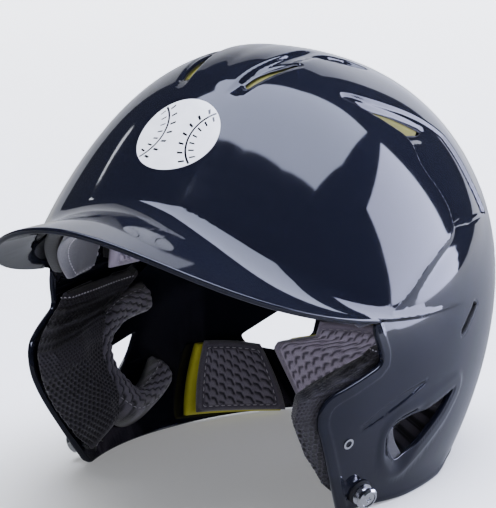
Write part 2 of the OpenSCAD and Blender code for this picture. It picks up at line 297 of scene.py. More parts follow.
class Patch:
    """A local flat frame on the shell, u eastwards and v upwards, in mm."""

    def __init__(self, az, el):
        self.o = skin(az, el)
        self.n = outward(az, el)
        self.u = unit(np.cross([0.0, 0.0, 1.0], self.n))
        self.v = np.cross(self.n, self.u)

    def uv(self, p):
        q = p - self.o
        return np.stack([q @ self.u, q @ self.v], -1)

    def region(self, p, reach):
        """Which of the points lie within reach, and the u and v of those."""
        near = np.linalg.norm(p - self.o, axis=-1) < reach
        return near, self.uv(p[near])

    def spots(self, azel):
        azel = np.asarray(azel, float)
        return self.uv(skin(azel[:, 0], azel[:, 1]))

    def direction(self, uv):
        """Directions from the centre whose skin points have these u and v."""
        uv = np.asarray(uv, float)
        p = self.o + uv[:, :1] * self.u + uv[:, 1:] * self.v
        for _ in range(12):
            d = unit(p - CENTRE)
            s = on_dome(d)
            e = uv - self.uv(s)
            p = s + e[:, :1] * self.u + e[:, 1:] * self.v
        return unit(p - CENTRE)


def signed(uv, loop):
    d, _ = to_line(uv, loop, closed=True)
    return np.where(inside(uv, loop), -d, d)


def on_side(y, z):
    """The shell point on the wearer's left with this y and z."""
    def outside(x):
        q = np.array([x, y, z]) - CENTRE
        r = np.linalg.norm(q)
        return r > dome_r(q / r)

    return np.array([closed_in(20.0, 125.0, outside)[0], y, z])


def on_floor(az):
    """The direction in which the shell meets the floor."""
    return heading(az, closed_in(-70.0, -20.0, lambda el: skin(az, el)[2] > 0)[0])


# Crown scoop, side scoop, ear opening, rear opening and slit, all on the wearer's left
crown = Patch(70, 80)
scoop = Patch(112, 50)
ear = Patch(88, -30)
rear = Patch(151, -22)
slit = Patch(109, -3.5)
crest_line = resample(eased(crown.spots([[11.8, 66], [17.6, 69.9], [22, 73.6], [29.6, 76.8],
                                         [55.3, 81], [110, 82], [150, 77.5], [165, 70]])), 2.0)
slot_loop = rounded(crown.spots([[24.2, 71.3], [32, 74.7], [45, 77.2], [62.2, 78.5], [84, 78.7],
                                 [86, 76.9], [58.3, 75.6], [38.5, 72.3], [28, 69.4]]), 2.0)
lens_loop = rounded(crown.spots([[128, 77.6], [144, 74.5], [153, 66], [151, 60], [143.7, 64.2],
                                 [138, 68], [128, 74.5]]), 4.0)
hole_loop = rounded(scoop.spots([[96.2, 60.2], [104.1, 58.3], [114.6, 53.9], [121.7, 49.3],
                                 [127, 44.9], [121, 45.6], [110.5, 48.6], [104.1, 52.8],
                                 [99, 56.8]]), 2.0)
scoop_loop = rounded(scoop.spots([[86, 64.8], [91, 65.3], [98, 63.8], [105.6, 60.9],
                                  [115, 57.1], [125, 51.7], [131.1, 46.9], [135, 42.5],
                                  [138, 38], [137, 33], [135.6, 26], [136.5, 16.5],
                                  [118.5, 19.5], [107.6, 21.5], [109.2, 27], [108.3, 32],
                                  [106.4, 37], [105.9, 40.5], [107.9, 43.3], [109.5, 46],
                                  [108.7, 48.8], [102.3, 54.1], [95.7, 59]]), 2.5)
ear_loop_yz = [[32, 51], [23, 40], [-8, 19], [-17, 27], [-21, 39], [-16, 43]]
ear_loop = rounded(ear.uv(np.array([on_side(y, z) for y, z in ear_loop_yz])), 4.5)
rear_loop = rounded(rear.spots([[139, -24.5], [151, -17.2], [159, -17], [158, -23.5],
                                [150, -28], [141, -27]]), 3.0)
slit_loop = rounded(slit.spots([[115.2, -0.9], [112.6, 0.7], [103.7, -5.4], [104.2, -7.4],
                                [106.6, -6.8]]), 1.6)
blade_3d = course([(62.5, -22.2), (74, -18.6), (86.5, -15.8)])
crease_line = [(108.7, 22.6), (104.1, 19.9), (95.5, 18.3), (86.2, 14.8), (76.3, 8.7), (71, 6.2)]
crease_3d = course(crease_line)

flap_yz = rounded([[-41, 99.5], [-31.5, 77], [-67, 65], [-69, 53], [-37, 0]], 7.0, closed=False)
_bill_rim = rim_point(np.linspace(0, FLAP_TOP, 300))
_bill_edge = unit(_bill_rim - CENTRE)
_flap_edge = unit(np.array([on_side(y, z) for y, z in flap_yz[1:]]) - CENTRE)
_floor_edge = np.array([on_floor(a) for a in np.linspace(62.5, 180, 150)])


def half_outline():
    """The left half's free edge as directions, from the bill's tip to the floor at the back."""
    line = np.vstack([_bill_edge, _flap_edge, _floor_edge])
    p = CENTRE + line * base_r(line, LEDGE_OUT, is_top(line))[:, None]
    d = unit(resample(p, OUTLINE_STEP) - CENTRE)
    d[0, 0] = d[-1, 0] = 0
    return unit(d)


outline = half_outline()
outline_3d = on_dome(outline)
flap_start = len(resample(_bill_rim, OUTLINE_STEP))
flap_3d = outline_3d[flap_start + 3::3]


def onto_left(p):
    """Points of either half, as points of the left one."""
    return np.abs(p * [1, 0, 0]) + p * [0, 1, 1]


def features(d, p):
    """Height of the small features above the plain skin; p are the plain skin points."""
    f = np.zeros(len(p))
    q = onto_left(p)
    az, el = angles(d)
    az = np.abs(az)

    near, uv = crown.region(q, 75)
    side, share = beside(uv, crest_line)
    env = smooth((share - 0.02) / 0.16) * (1 - smooth((share - 0.66) / 0.3))
    g = 0.8 * (1 - smooth((side + 0.2) / 2.6)) * (1 - smooth((-side - 5) / 16))
    g = g - 1.5 * smooth(side / 3.0) * (1 - smooth((side - 5.2) / 5.0))
    g = g * env - 2.0 * smooth(0.4 - signed(uv, lens_loop) / 2.6)
    f[near] += g - 0.8 * smooth(1 - signed(uv, slot_loop) / 1.8)

    near, uv = scoop.region(q, 90)
    sd = signed(uv, scoop_loop)
    hd = signed(uv, hole_loop)
    f[near] -= 1.5 * smooth(0.3 - sd / 2.2) + 1.7 * smooth((-sd - 0.8) / 5) * smooth(1 - hd / 8)

    near, uv = ear.region(q, 75)
    sd = signed(uv, ear_loop)
    front = smooth((4 - uv[:, 0]) / 12)
    f[near] += 0.6 * (1 - smooth((sd - 6.0) / 4)) - 2.2 * front * smooth(1 - sd / 5.5)
    f[near] -= 0.6 * smooth(1 - sd / 1.6)

    for patch, loop, reach, deep, wide in ((rear, rear_loop, 40, 1.4, 4),
                                           (slit, slit_loop, 20, 0.35, 1.2)):
        near, uv = patch.region(q, reach)
        f[near] -= deep * smooth(1 - signed(uv, loop) / wide)

    near, _ = ear.region(q, 90)
    off, share = to_line(q[near], blade_3d)
    width = 0.5 + 2.0 * np.sin(np.pi * np.clip(share * 0.9 + 0.1, 0, 1)) ** 0.8
    f[near] -= 0.9 * smooth((width + 0.9 - off) / 1.8)

    off, share = to_line(q, crease_3d)
    below = el < np.interp(az, *np.transpose(crease_line[::-1]))
    f += np.where(below, -0.9 * (off / 5) * np.exp(1 - off / 5), 0.25 * np.exp(-(off / 1.6) ** 2)) \
        * np.sin(np.pi * np.clip(share * 0.94 + 0.03, 0, 1)) ** 0.6
    off, _ = to_line(q, flap_3d)
    f += 0.55 * smooth((4.6 - off) / 1.3) + 0.12 * np.exp(-((off - 4.0) / 0.7) ** 2)
    # the foot of each flap turns outwards
    f += 2.6 * np.exp(-(q[:, 2] / 6) ** 2) * smooth((az - 66) / 26) * smooth((128 - az) / 14)
    return f


def outer_point(d, top):
    return CENTRE + d * (base_r(d, LEDGE_OUT, top) + features(d, on_dome(d)))[:, None]


def inner_plain(d, top):
    return CENTRE + d * base_r(d, LEDGE_IN, top)[:, None]


def with_normals(f, d, eps):
    """Points of the surface f over directions d, with normals from its slopes."""
    top = is_top(d)
    ref = np.where(np.abs(d[:, 2:]) > 0.9, [[0.0, 1.0, 0.0]], [[0.0, 0.0, 1.0]])
    a = unit(np.cross(ref, d))
    b = np.cross(d, a)
    pu = f(unit(d + a * eps), top) - f(unit(d - a * eps), top)
    pv = f(unit(d + b * eps), top) - f(unit(d - b * eps), top)
    return f(d, top), unit(np.cross(pu, pv))


# ---------------------------------------------------------------- meshes
def plane(d):
    """Directions laid out flat round the crown."""
    az, el = np.arctan2(d[:, 0], -d[:, 1]), np.arcsin(np.clip(d[:, 2], -1, 1))
    t = np.pi / 2 - el
    return np.stack([t * np.sin(az), -t * np.cos(az)], -1)


def off_plane(v):
    """The directions that plane() laid out at v."""
    t = np.linalg.norm(v, axis=1)
    d = np.stack([np.sin(t) * v[:, 0] / np.maximum(t, 1e-12),
                  np.sin(t) * v[:, 1] / np.maximum(t, 1e-12), np.cos(t)], -1)
    d[np.abs(d[:, 0]) < 1e-6, 0] = 0
    return d


def rings(h, low=-62):
    """Directions spread evenly at h mm over the left half."""
    out = []
    step = math.degrees(h / 125)
    for k, el in enumerate(np.arange(90 - step, low, -step)):
        n = max(2, int(round(math.pi * 118 * math.cos(math.radians(el)) / h)))
        az = (np.arange(n) + (0.5 if k % 2 else 1.0)) * 180 / n
        out.append(heading(az[az < 180 - 0.3 * 180 / n], el))
    return np.vstack(out)


def fine_points(patch, loops, h, band):
    """Directions spread at h mm within band mm of the loops."""
    lo = np.min([l.min(0) for l in loops], 0) - 8
    hi = np.max([l.max(0) for l in loops], 0) + 8
    gx, gy = np.meshgrid(np.arange(lo[0], hi[0], h), np.arange(lo[1], hi[1], h * 0.87))
    gx[1::2] += h / 2
    uv = np.stack([gx.ravel(), gy.ravel()], -1)
    keep = np.zeros(len(uv), bool)
    for l in loops:
        keep |= to_line(uv, l, closed=l is not crest_line)[0] < band
    return patch.direction(uv[keep])


def along(line, offsets, h):
    """Rows of directions on both sides of a line on the skin, offsets in mm."""
    line = resample(line, h)
    d = unit(line - CENTRE)
    tang = unit(np.gradient(line, axis=0))
    side = unit(np.cross(d, tang))
    return np.vstack([unit(line + side * o - CENTRE) for o in offsets])


def clear_of(points, middle, fixed, h):
    """The directions off the centre plane whose points stay h mm from the fixed ones."""
    points = points[points[:, 0] > middle]
    tree = KDTree(len(fixed))
    for i, v in enumerate(on_dome(fixed)):
        tree.insert(v, i)
    tree.balance()
    return points[np.array([tree.find(v)[2] > h for v in on_dome(points)])]


def sheet_triangles(loops, extra):
    """Triangles over the area inside the first loop and outside the others."""
    pts, edges, at = [], [], 0
    for l in loops:
        n = len(l)
        pts.append(l)
        edges += [(at + i, at + (i + 1) % n) for i in range(n)]
        at += n
    pts = np.vstack(pts + [extra])
    v, _, f, ov, _, _ = delaunay_2d_cdt([Vector(p) for p in pts], edges, [], 0, 1e-7)
    f = np.array([t for t in f if len(t) == 3])
    v = np.array([tuple(p) for p in v])
    mid = v[f].mean(1)
    keep = inside(mid, loops[0])
    for l in loops[1:]:
        keep &= ~inside(mid, l)
    back = np.array([o[0] if len(o) else -1 for o in ov])
    return v, f[keep], back


def facing(p, tris, out):
    """The triangles, turned so that each one's front looks along its row of out."""
    cr = np.cross(p[tris[:, 1]] - p[tris[:, 0]], p[tris[:, 2]] - p[tris[:, 0]])
    return [tuple(t[::-1]) if wrong else tuple(t)
            for t, wrong in zip(tris, (cr * out).sum(1) < 0)]


def make_mesh(name, verts, faces, *looks, normals=None, mats=None, raised=None):
    """An object from points in mm. raised is a number for each of its first points, which
    the material reads."""
    me = bpy.data.meshes.new(name)
    me.from_pydata((np.asarray(verts) * 0.001).tolist(), [], [list(map(int, f)) for f in faces])
    me.polygons.foreach_set("use_smooth", [True] * len(me.polygons))
    for look in looks:
        me.materials.append(look)
    if mats is not None:
        me.polygons.foreach_set("material_index", np.asarray(mats, np.int32))
    # raised drives painted shade in the material: where it is low, the colour darkens
    if raised is not None:
        values = np.zeros(len(verts), np.float32)
        values[:raised.size] = raised.ravel()
        me.attributes.new("raised", "FLOAT", "POINT").data.foreach_set("value", values)
    me.update()
    if normals is not None:
        me.normals_split_custom_set_from_vertices(np.asarray(normals).tolist())
    ob = bpy.data.objects.new(name, me)
    scene.collection.objects.link(ob)
    return ob


def build_shell():
    ends = [math.pi / 2 - math.asin(outline[k, 2]) for k in (-1, 0)]
    centre_line = np.vstack([[0.0, math.sin(t), math.cos(t)]
                             for t in np.linspace(ends[0], -ends[1], 150)[1:-1]])
    loops_d = [patch.direction(resample(loop, 0.9, closed=True)) for patch, loop in
               ((crown, slot_loop), (scoop, hole_loop), (ear, ear_loop), (rear, rear_loop),
                (slit, slit_loop))]
    fixed = np.vstack([outline, centre_line] + loops_d)

    by_edge = np.array([0.9, 1.8, 2.8, 3.6, 4.2, 4.8, 5.6, 6.6])
    edge_line = outline_3d[flap_start + 2:]
    fine = np.vstack([
        fine_points(crown, [slot_loop, crest_line, lens_loop], 0.85, 4.5),
        fine_points(scoop, [scoop_loop, hole_loop], 0.95, 4.0),
        fine_points(ear, [ear_loop], 1.0, 9.5),
        fine_points(slit, [slit_loop], 0.8, 3.0),
        along(blade_3d, np.linspace(-4.2, 4.2, 13), 0.9),
        along(crease_3d, [-3, -2, -1.2, -0.6, 0, 0.6, 1.2, 2, 3], 1.1),
        along(_ledge[_ledge_az > 63], [-2.4, -1.7, -1.2, -0.8, -0.4, 0, 0.5, 1.2, 2.0], 1.0),
        along(edge_line, by_edge, 1.2),
        along(edge_line, -by_edge, 1.2),
    ])
    fine = clear_of(fine, 0.004, fixed, 0.55)
    # one point is kept of those that fall into the same cell
    cell = {}
    for i, v in enumerate(on_dome(fine)):
        cell.setdefault(tuple(np.floor(v / 0.7).astype(int)), i)
    fine = fine[list(cell.values())]
    rough = clear_of(rings(2.6), 0.008, np.vstack([fixed, fine]), 1.35)
    loop_2d = [plane(np.vstack([outline, centre_line]))] + [plane(l) for l in loops_d]
    v, f, back = sheet_triangles(loop_2d, plane(np.vstack([fine, rough])))
    po, no = with_normals(outer_point, off_plane(v), 0.005)

    vi, fi, back_i = sheet_triangles(loop_2d, plane(clear_of(rings(4.5), 0.012, fixed, 2.6)))
    pi_, ni = with_normals(inner_plain, off_plane(vi), 0.01)
    pi_ = pi_ - ni * WALL

    verts, norms, base = [po, pi_], [no, -ni], len(po)
    faces = facing(po, f, po[f].mean(1) - CENTRE)
    faces += [tuple(base + k for k in t) for t in facing(pi_, fi, CENTRE - pi_[fi].mean(1))]

    # rounded strips between the outer and inner sheets round every free edge
    index_o, index_i = ({b: k for k, b in enumerate(x) if b >= 0} for x in (back, back_i))
    at, top, turns = 0, base + len(pi_), 9
    for j, loop in enumerate([outline] + loops_d):
        n, closed = len(loop), j > 0
        o = np.array([index_o[at + k] for k in range(n)])
        i = np.array([index_i[at + k] for k in range(n)])
        at += n if closed else n + len(centre_line)
        P, Q = po[o], pi_[i]
        half = (P - Q) / 2
        if closed:
            bulge, e = 0.7, 0.55
            out = unit(np.cross(unit(np.roll(P, -1, axis=0) - np.roll(P, 1, axis=0)), half))
            sign = np.sign(((P.mean(0) - P) * out).sum(1).mean())
        else:
            bulge, e = 1.5, 0.85
            nxt = np.vstack([P[1:], 2 * P[-1:] - P[-2:-1]])
            prv = np.vstack([2 * P[:1] - P[1:2], P[:-1]])
            out = unit(np.cross(unit(nxt - prv), half))
            third = n // 3
            sign = -1.0 if (out[third] * (FACE_MIDDLE - P[third])).sum() > 0 else 1.0
            out[0, 0] = out[-1, 0] = half[0, 0] = half[-1, 0] = 0
            out = unit(out)
        out = out * sign
        ha, hl = unit(half), np.linalg.norm(half, axis=1, keepdims=True)
        rows = [o]
        for s in range(1, turns):
            phi = math.pi * s / turns
            c, w = math.cos(phi), math.sin(phi)
            verts.append((P + Q) / 2 + half * np.sign(c) * abs(c) ** e + out * bulge * w ** e)
            norms.append(unit(ha * np.sign(c) * abs(c) ** (2 - e) / hl
                              + out * w ** (2 - e) / bulge))
            rows.append(np.arange(top, top + n))
            top += n
        rows.append(base + i)
        backing = tuple(base + i)  # of the last loop, the slit's
        for a, b in zip(rows[:-1], rows[1:]):
            for k in range(n if closed else n - 1):
                k2 = (k + 1) % n
                quad = (a[k], a[k2], b[k2], b[k])
                faces.append(quad if sign > 0 else quad[::-1])
    V, N = np.vstack(verts), np.vstack(norms)
    # fix the winding of the strips from their normals
    for j, q in enumerate(faces):
        if len(q) == 4:
            n = np.cross(V[q[2]] - V[q[0]], V[q[3]] - V[q[1]])
            if n @ (N[q[0]] + N[q[2]]) < 0:
                faces[j] = q[::-1]
    # the right half is the left one mirrored, and shares its points on the centre plane
    mid = np.abs(V[:, 0]) < 1e-4
    V[mid, 0] = 0
    N[mid, 0] = 0
    N = unit(N)
    other = np.arange(len(V))
    extra = np.where(~mid)[0]
    other[extra] = len(V) + np.arange(len(extra))
    V = np.vstack([V, V[extra] * [-1, 1, 1]])
    N = np.vstack([N, N[extra] * [-1, 1, 1]])
    faces.append(backing)
    faces += [tuple(other[list(q)][::-1]) for q in faces]
    used = np.zeros(len(V), bool)
    for q in faces:
        used[list(q)] = True
    new = np.cumsum(used) - 1
    return V[used], [tuple(new[list(q)]) for q in faces], N[used]


# ---------------------------------------------------------------- materials
def material(name, color=(0.5, 0.5, 0.5), rough=0.5, **sockets):
    m = bpy.data.materials.new(name)
    m.use_nodes = True
    b = m.node_tree.nodes["Principled BSDF"]
    b.inputs["Base Color"].default_value = (*color, 1)
    b.inputs["Roughness"].default_value = rough
    for key, value in sockets.items():
        b.inputs[key.replace("_", " ")].default_value = value
    return m


class Nodes:
    """Short hand for building the node tree of a material, or of the world."""

    def __init__(self, owner, shader="Principled BSDF"):
        self.tree = owner.node_tree
        self.shader = self.tree.nodes[shader]
        self.place = self.add("TexCoord").outputs["Object"]

    def add(self, kind, ins=None, **props):
        n = self.tree.nodes.new("ShaderNode" + kind)
        for k, v in props.items():
            setattr(n, k, v)
        for k, v in (ins or {}).items():
            if isinstance(v, bpy.types.NodeSocket):
                self.tree.links.new(v, n.inputs[k])
            else:
                n.inputs[k].default_value = v
        return n

    def link(self, a, b):
        self.tree.links.new(a, self.shader.inputs[b])

    def ramp(self, fac, stops):
        n = self.add("ValToRGB", {"Fac": fac})
        for e, (p, c) in zip(n.color_ramp.elements, stops):
            e.position, e.color = p, (*c, 1)
        return n.outputs["Color"]

    def bump(self, height, strength, distance):
        n = self.add("Bump", {"Height": height, "Strength": strength, "Distance": distance})
        self.link(n.outputs["Normal"], "Normal")

    def noise(self, scale, detail):
        return self.add("TexNoise", {"Vector": self.place, "Scale": scale,
                                     "Detail": detail}).outputs["Fac"]

    def cells(self, scale, **more):
        return self.add("TexVoronoi", {"Vector": self.place, "Scale": scale,
                                       **more}).outputs["Distance"]

    def spread(self, value, low, high, start=0.0, end=1.0):
        return self.add("MapRange", {"Value": value, "From Min": start, "From Max": end,
                                     "To Min": low, "To Max": high}).outputs["Result"]

    def math(self, operation, a, b):
        return self.add("Math", {0: a, 1: b}, operation=operation).outputs[0]


def navy_gloss():
    m = material("navy_gloss", (0.0075, 0.0125, 0.026), 0.06, IOR=1.5)
    n = Nodes(m)
    mottle = n.noise(260.0, 3.0)
    n.link(n.ramp(mottle, [(0.3, (0.0041, 0.0046, 0.0088)), (0.7, (0.0051, 0.0057, 0.0108))]),
           "Base Color")
    n.link(n.spread(mottle, 0.035, 0.075), "Roughness")
    n.bump(n.noise(90.0, 1.0), 0.05, 0.00012)
    return m


def eva_foam(name, dark, light):
    m = material(name, light, 0.62)
    n = Nodes(m)
    n.link(n.ramp(n.noise(60.0, 4.0), [(0.25, dark), (0.75, light)]), "Base Color")
    n.bump(n.cells(900.0), 0.35, 0.0003)
    return m


def knit(name, dark, light, scale=1500.0, sheen=0.35, deep=None):
    """Woven or knitted fabric; deep is painted shade, the darker colour put in the gaps of an
    embossed pattern.
    """
    m = material(name, light, 0.85, Sheen_Weight=sheen, Sheen_Roughness=0.45)
    n = Nodes(m)
    weave = n.cells(scale, Randomness=0.35)
    color = n.ramp(n.math("ADD", weave, n.noise(140.0, 5.0)), [(0.35, dark), (0.95, light)])
    if deep:
        # painted shade: where raised is low, in gaps and holes, the colour turns to deep
        raised = n.add("Attribute", attribute_name="raised").outputs["Fac"]
        color = n.add("Mix", {"Factor": raised, "A": (*deep, 1), "B": color},
                      data_type="RGBA").outputs["Result"]
    n.link(color, "Base Color")
    n.bump(weave, 0.5, 0.0004)
    return m


EVA = eva_foam("eva_yellow", (0.4, 0.38, 0.02), (0.56, 0.53, 0.04))
# painted shade: a darkened copy of the yellow foam, for the crown base that lies in shade behind
# the vents
EVA_SHADED = eva_foam("eva_olive", (0.075, 0.07, 0.006), (0.12, 0.11, 0.01))
# each deep colour below is painted shade for the gaps and holes of that fabric
EMBOSSED = knit("pad_knit", (0.09, 0.079, 0.108), (0.2, 0.18, 0.232),
                deep=(0.02, 0.017, 0.026))
PALE_KNIT = knit("rear_knit", (0.3, 0.262, 0.35), (0.58, 0.515, 0.66), deep=(0.12, 0.1, 0.145))
PLAIN_KNIT = knit("forehead_knit", (0.028, 0.027, 0.042), (0.05, 0.048, 0.072), scale=2200.0)
EAR_KNIT = knit("ear_knit", (0.045, 0.04, 0.054), (0.12, 0.108, 0.14),
                deep=(0.009, 0.008, 0.011))
SPACER = knit("spacer_mesh", (0.0112, 0.0098, 0.0135), (0.031, 0.0275, 0.0375), scale=1100.0,
              sheen=0.2, deep=(0.0015, 0.0015, 0.002))
FOAM = knit("black_foam", (0.012, 0.012, 0.013), (0.024, 0.024, 0.026), scale=700.0, sheen=0.1)
THREAD = knit("thread", (0.2, 0.19, 0.23), (0.42, 0.4, 0.46), scale=4000.0)
NAVY = navy_gloss()

# ---------------------------------------------------------------- camera, light, floor
back, roll = heading(35.0877, 13.905), math.radians(-0.5947)
right = unit(np.array([-back[1], back[0], 0]))
up = np.cross(back, right)
cam_x = right * math.cos(roll) + up * math.sin(roll)
cam_y = -right * math.sin(roll) + up * math.cos(roll)
aim, distance = np.array([0, -0.003946, 0.111139]), 2.004087
place = aim + back * distance
camera = bpy.data.objects.new("camera", bpy.data.cameras.new("camera"))
camera.matrix_world = Matrix([[cam_x[i], cam_y[i], back[i], place[i]] for i in range(3)]
                             + [[0, 0, 0, 1]])
camera.data.lens = 291.263386
camera.data.sensor_width = 36
camera.data.clip_end = 20
scene.collection.objects.link(camera)
scene.camera = camera

world = bpy.data.worlds.new("studio")
scene.world = world
world.use_nodes = True
sky = Nodes(world, "Background")
sky.shader.inputs["Color"].default_value = (0.8, 0.88, 1, 1)
# the camera sees it bright, and the glossy shell sees it dim
path = sky.add("LightPath").outputs
level = sky.spread(path["Is Glossy Ray"], 0.26, 0.06)
sky.link(sky.math("ADD", level, path["Is Camera Ray"]), "Strength")

HEAD = Vector((0, 0.0056, 0.0895))


def toward(a, e, far):
    return HEAD + Vector(heading(a, e).tolist()) * far


def glow(name, corners, brightness, color):
    """A softbox as a flat shape that shines, seen only in what it lights and in reflections."""
    me = bpy.data.meshes.new(name)
    me.from_pydata([tuple(c) for c in corners], [], [tuple(range(len(corners)))])
    me.materials.append(material(name, color, Emission_Color=(*color, 1),
                                 Emission_Strength=brightness))
    ob = bpy.data.objects.new(name, me)
    ob.visible_camera = False
    scene.collection.objects.link(ob)


def fill_light(name, at, to, size, brightness):
    """A large weak light that doesn't show in reflections."""
    light = bpy.data.lights.new(name, "AREA")
    light.size = size
    light.energy = brightness * math.pi * size * size
    ob = bpy.data.objects.new(name, light)
    ob.location = at
    ob.rotation_euler = (Vector(to) - Vector(at)).to_track_quat("-Z", "Y").to_euler()
    ob.visible_glossy = False
    scene.collection.objects.link(ob)


def overhead(gx, gy, high=2.2):
    return HEAD + Vector((gx, gy, 1)) * high


glow("top_box", [overhead(*g) for g in ((-0.70, 0.07), (-0.247, -0.239), (0.064, -0.222),
                                        (0.43, -0.115), (0.806, 0.085), (0.819, 0.512),
                                        (0.557, 1.313), (0.302, 0.99), (0.052, 0.6),
                                        (-0.289, 0.252))], 5.2, (0.85, 0.92, 1.22))
glow("side_box", [toward(a, e, 1.9) for a, e in ((119, -4), (156, -4), (156, 31), (119, 31))],
     6.3, (0.88, 0.92, 1.27))
glow("small_box", [toward(-103 + 1.3 * math.cos(t), 27 + 1.4 * math.sin(t), 2.2)
                   for t in np.linspace(0, 2 * math.pi, 17)[:-1]], 3.2, (0.95, 0.97, 1.0))
fill_light("front_fill", (0.55, -1.5, 0.16), HEAD, 0.9, 2.2)
fill_light("ceiling", (0, 0.3, 2.1), (0, 0.3, 0), 2.6, 5.6)


def backdrop(half, front, top, back_at=2.0, bend=1.2):
    """A floor that curves up behind the object."""
    profile = [(-front, 0), (back_at, 0)]
    profile += [(back_at + bend * math.sin(t), bend - bend * math.cos(t))
                for t in np.linspace(0.1, math.pi / 2, 12)]
    profile.append((back_at + bend, top))
    rows = [(x, y, z) for y, z in profile for x in (-half, half)]
    return rows, [(i, i + 1, i + 3, i + 2) for i in range(0, len(rows) - 2, 2)]


def paper(name, tone, near, far, sideways=None, hue=(1, 1, 1, 1)):
    """A pale floor that brightens far from the object, as a lit studio floor does, or
    from one side to the other between the two places in sideways."""
    m = material(name, (tone, tone, tone), 0.7, Emission_Color=hue)
    n = Nodes(m)
    at = n.add("SeparateXYZ", {"Vector": n.place}).outputs
    if sideways:
        n.link(n.spread(at["X"], near, far, *sideways), "Emission Strength")
    else:
        squares = [n.math("MULTIPLY", at[axis], at[axis]) for axis in "XY"]
        n.link(n.spread(n.math("ADD", *squares), near, far, 0.0, 1.6), "Emission Strength")
    return m


def floor_sheet(name, rows, faces, mat):
    me = bpy.data.meshes.new(name)
    me.from_pydata(rows, [], faces)
    me.polygons.foreach_set("use_smooth", [True] * len(me.polygons))
    me.materials.append(mat)
    ob = bpy.data.objects.new(name, me)
    ob.rotation_euler[2] = math.radians(35)
    scene.collection.objects.link(ob)
    return ob


floor_sheet("floor", [(-16, -16, 0), (16, -16, 0), (16, 16, 0), (-16, 16, 0)],
            [(0, 1, 2, 3)], paper("paper", 0.8, 0.2, 1.7)).visible_glossy = False
# what the glossy shell sees of the floor is smaller, as between a studio's dark flags
near_floor = floor_sheet("floor_near", *backdrop(1.5, 1.5, 2.6),
                         paper("flagged", 0.5, 0.0, 0.8, (-0.1, 0.55), (0.84, 0.9, 1.2, 1)))
near_floor.visible_camera = near_floor.visible_diffuse = near_floor.visible_shadow = False

# ---------------------------------------------------------------- shell
V, F, N = build_shell()
V[:, 2] += RIM_LIFT * smooth((RIM_ROUND - V[:, 2]) / (RIM_ROUND + RIM_LIFT))
# painted shade: the slit's walls and the sheet that closes it take a near-black rough material in
# place of the navy shell, so that the slot reads as dark
slit_wall = np.zeros(len(V), bool)
round_slit, slit_uv = slit.region(onto_left(V), 20)
slit_wall[round_slit] = signed(slit_uv, slit_loop) < 0.3
slit_painted_shade = knit("slit_painted_shade", (0.004, 0.004, 0.005), (0.01, 0.01, 0.012), sheen=0.0)
shell = make_mesh("shell_skin", V, F, NAVY, slit_painted_shade, normals=N,
                  mats=[all(slit_wall[i] for i in q) for q in F])
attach(shell, "helmet")
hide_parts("shell")


# ---------------------------------------------------------------- pads
def quad_area(corners):
    c = np.array(corners, float)

    def spot(u, v):
        u, v = u[..., None], v[..., None]
        return mix(mix(c[0], c[1], u), mix(c[3], c[2], u), v)

    return spot


def brow(a):
    return np.maximum(5, 30 - 25 * (a / 64) ** 2)


def forehead_area(u, v):
    a = mix(-84, 84, u)
    return np.stack([a, brow(a) - 3 + 19 * v], -1)


def rear_area(u, v):
    w = 2 * u - 1
    e = mix(-37 - 3.4 * w * w, -18.5, v)
    reach = np.interp(e, [-40.4, -26, -24.5, -22.5, -18.5], [22.5, 32.5, 31.5, 21.5, 21])
    return np.stack([180 + w * reach, e], -1)


UPPER_REAR = quad_area([[142, -14], [218, -14], [214, 18], [146, 18]])
REAR_SIDE_PAD = quad_area([[119.5, -42.8], [153.6, -39.8], [145.3, -25.1], [127, -24.5]])
TEMPLE = quad_area([[88, -0.5], [118, -1], [122, 24], [92, 26]])


def inset(spot, m):
    return lambda u, v: spot(mix(m, 1 - m, u), mix(m, 1 - m, v))


def jaw_area(u, v):
    e = mix(-44, -3, v)
    a = np.interp(e, [-44, -38, -28, -19, -13, -9, -6, -3], [60, 53, 46.5, 43, 44, 57, 65, 69])
    b = np.interp(e, [-44, -37, -30, -21, -16, -11, -8, -3],
                  [68.2, 66.2, 63.7, 63.7, 67, 75, 91, 104])
    return np.stack([mix(a, b, u), e], -1)


def jaw_bulge(u, v):
    return ((0.35 + 0.65 * np.sin(np.pi / 2 * np.minimum(1, 2.4 * u)))
            * (0.38 + 0.62 * smooth((1 - v) / 0.35)) * (0.72 + 0.28 * smooth(v / 0.2)))


def strokes(s, t, p=5.2, q=4.8):
    """Embossed pattern of staggered bent strokes: 0 in a stroke and 1 between them."""
    best = np.full(s.shape, 9.0)
    for side in (-1, 0, 1):
        col = np.floor(s / p) + side
        x = s - (col + 0.5) * p
        y = t - col * q * 0.5
        y = y - np.round(y / q) * q
        for dy in (-q, 0, q):
            for x0, y0, x1, y1 in ((-2.0, 1.3, 0.1, 0.8), (0.1, 0.8, 1.3, -1.7)):
                px, py, lx, ly = x - x0, y + dy - y0, x1 - x0, y1 - y0
                k = np.clip((px * lx + py * ly) / (lx ** 2 + ly ** 2), 0, 1)
                best = np.minimum(best, np.hypot(px - k * lx, py - k * ly))
    return smooth((best - 0.3) / 0.75)


def inner(az, el, t, upright=False):
    """The point at depth t. The depth of an upright pad is measured almost level."""
    if not upright:
        return skin(az, el, t)
    n = unit(heading(az, el) * [1, 1, 0.15])
    return skin(az, el) - n * np.asarray(t)[..., None]


def pits(s, t, pitch, size):
    """Rows of round holes, 1 inside a hole and 0 on the net."""
    best = np.full(s.shape, 9.0)
    for ox, oy in ((0, 0), (0.5, 0.5)):
        x = (s / pitch + ox) % 1 - 0.5
        y = (t / (pitch * 1.5) + oy) % 1 - 0.5
        best = np.minimum(best, np.hypot(x * pitch, y * pitch * 1.5))
    return smooth((size - best) / (0.35 * size))


def drawn_in(spot, a, b, corner):
    """Azimuth and elevation over an area, from -1 to 1 both ways, with its corners drawn in."""
    ua, vb = a * np.sqrt(1 - corner * b * b), b * np.sqrt(1 - corner * a * a)
    return spot((ua + 1) / 2, (vb + 1) / 2)


